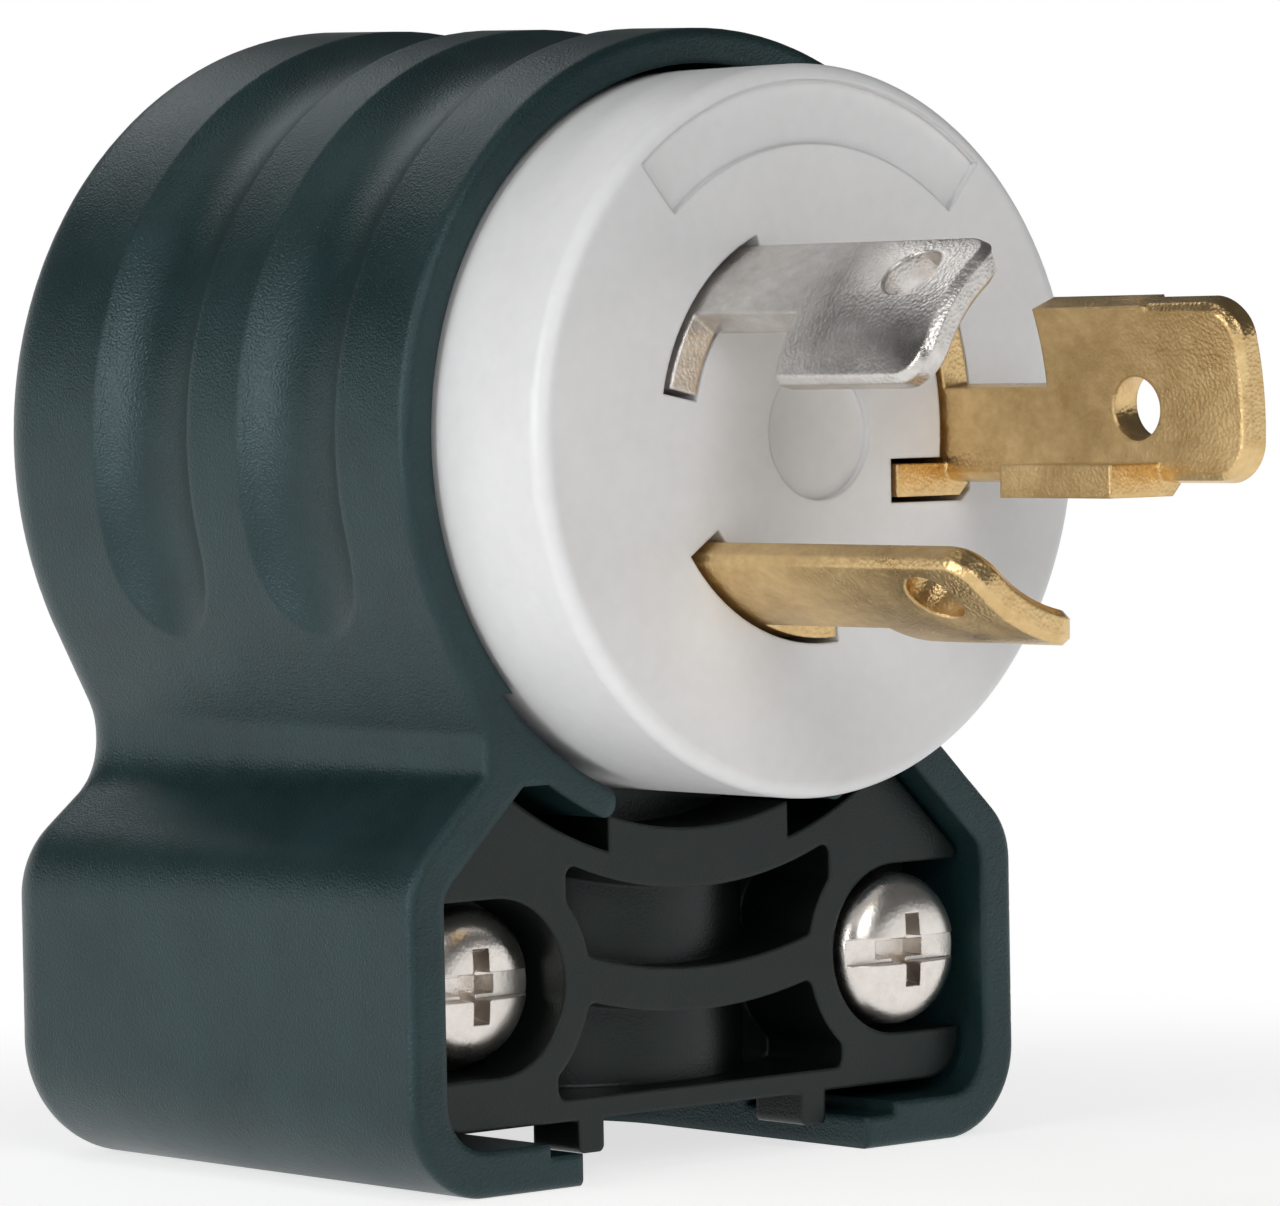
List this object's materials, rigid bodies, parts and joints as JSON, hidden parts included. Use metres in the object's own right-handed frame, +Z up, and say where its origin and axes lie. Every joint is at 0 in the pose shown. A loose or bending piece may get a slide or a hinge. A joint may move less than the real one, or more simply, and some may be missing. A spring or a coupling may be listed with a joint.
{
  "type": "locking plug",
  "caption": "Angled twist-lock plug: ribbed black housing, round white face with hooked blades, and a two-screw cord clamp below.",
  "frame": {"origin": "middle of the bounding box at the level of the plug's base", "axes": "+Z up, the blade axis is parallel to Y and the blades point to -Y, +X to the right seen from the blades"},
  "size_m": [0.037, 0.0522, 0.0503],
  "materials": {
    "black_nylon": "fine moulded texture",
    "black_nylon_clamp": "satin moulded",
    "white_nylon": "satin moulded",
    "ivory_nylon": "satin moulded",
    "nickel_plate": "bright nickel plate",
    "brass": "stamped brass",
    "plated_steel": "nickel-plated steel",
    "zinc_steel": "zinc-plated steel",
    "green_steel": "green-dyed steel"
  },
  "bodies": {
    "root": {"housing": "black_nylon", "cord_clamp": "black_nylon_clamp", "face_body": "white_nylon", "terminal_body": "ivory_nylon", "neutral_blade": "nickel_plate", "line_blade": "brass", "ground_blade": "brass", "left_clamp_screw": "plated_steel", "right_clamp_screw": "plated_steel", "left_clamp_nut": "zinc_steel", "right_clamp_nut": "zinc_steel", "upper_body_screw": "zinc_steel", "left_body_screw": "zinc_steel", "right_body_screw": "zinc_steel", "neutral_terminal_screw": "nickel_plate", "line_terminal_screw": "brass", "ground_terminal_screw": "green_steel", "neutral_clamp_plate": "nickel_plate", "line_clamp_plate": "brass", "ground_clamp_plate": "brass"}
  },
  "joints": []
}
